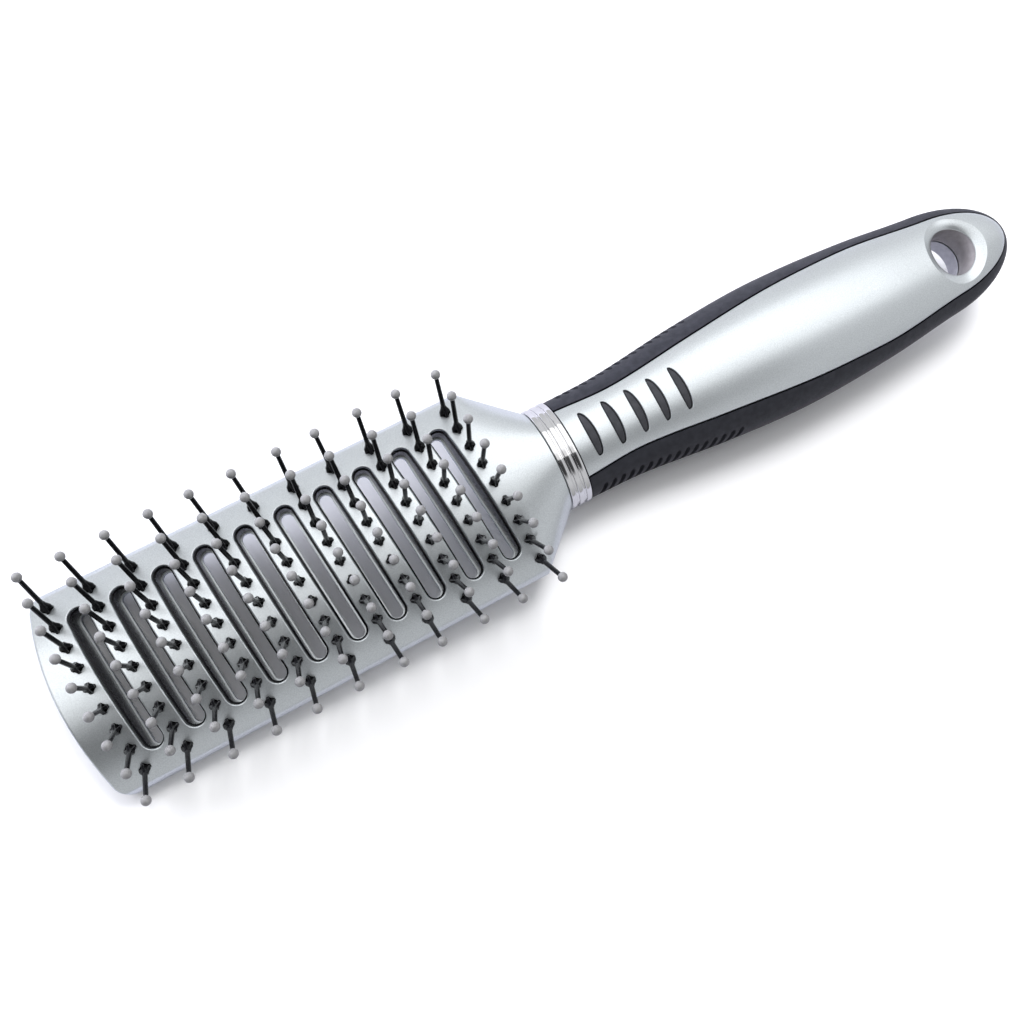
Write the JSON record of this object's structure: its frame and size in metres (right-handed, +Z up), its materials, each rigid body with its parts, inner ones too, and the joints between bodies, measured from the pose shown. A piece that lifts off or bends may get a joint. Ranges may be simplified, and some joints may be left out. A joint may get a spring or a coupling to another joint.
{
  "type": "round vent brush",
  "caption": "Vented hair brush: curved slotted silver head with rows of ball-tipped black pins, chromed neck ring, and a soft black grip with silver plates and a hanging hole.",
  "frame": {"origin": "on the table below the middle of the whole brush's length and width, lying on its back with the pins up", "axes": "+X along the brush towards the handle's end, +Y across it, +Z up out of the table, the way the pins point"},
  "size_m": [0.2418, 0.051, 0.0313],
  "materials": {
    "silver_shell": "satin silver paint on plastic",
    "silver_plate": "satin silver paint on plastic",
    "black_liner": "satin",
    "black_pins": "semi-gloss",
    "grey_tips": "soft gloss",
    "chrome_ring": "polished",
    "core_plastic": "matte",
    "soft_grip": "matte"
  },
  "bodies": {
    "root": {"head_front": "silver_shell", "head_back": "silver_shell", "vent_liner": "black_liner", "pin_row_01": "black_pins", "pin_row_02": "black_pins", "pin_row_03": "black_pins", "pin_row_04": "black_pins", "pin_row_05": "black_pins", "pin_row_06": "black_pins", "pin_row_07": "black_pins", "pin_row_08": "black_pins", "pin_row_09": "black_pins", "pin_row_10": "black_pins", "pin_row_11": "black_pins", "pin_tips_01": "grey_tips", "pin_tips_02": "grey_tips", "pin_tips_03": "grey_tips", "pin_tips_04": "grey_tips", "pin_tips_05": "grey_tips", "pin_tips_06": "grey_tips", "pin_tips_07": "grey_tips", "pin_tips_08": "grey_tips", "pin_tips_09": "grey_tips", "pin_tips_10": "grey_tips", "pin_tips_11": "grey_tips", "neck_ring": "chrome_ring", "handle_core": "core_plastic", "grip": "soft_grip", "top_plate": "silver_plate", "back_plate": "silver_plate"}
  },
  "joints": []
}
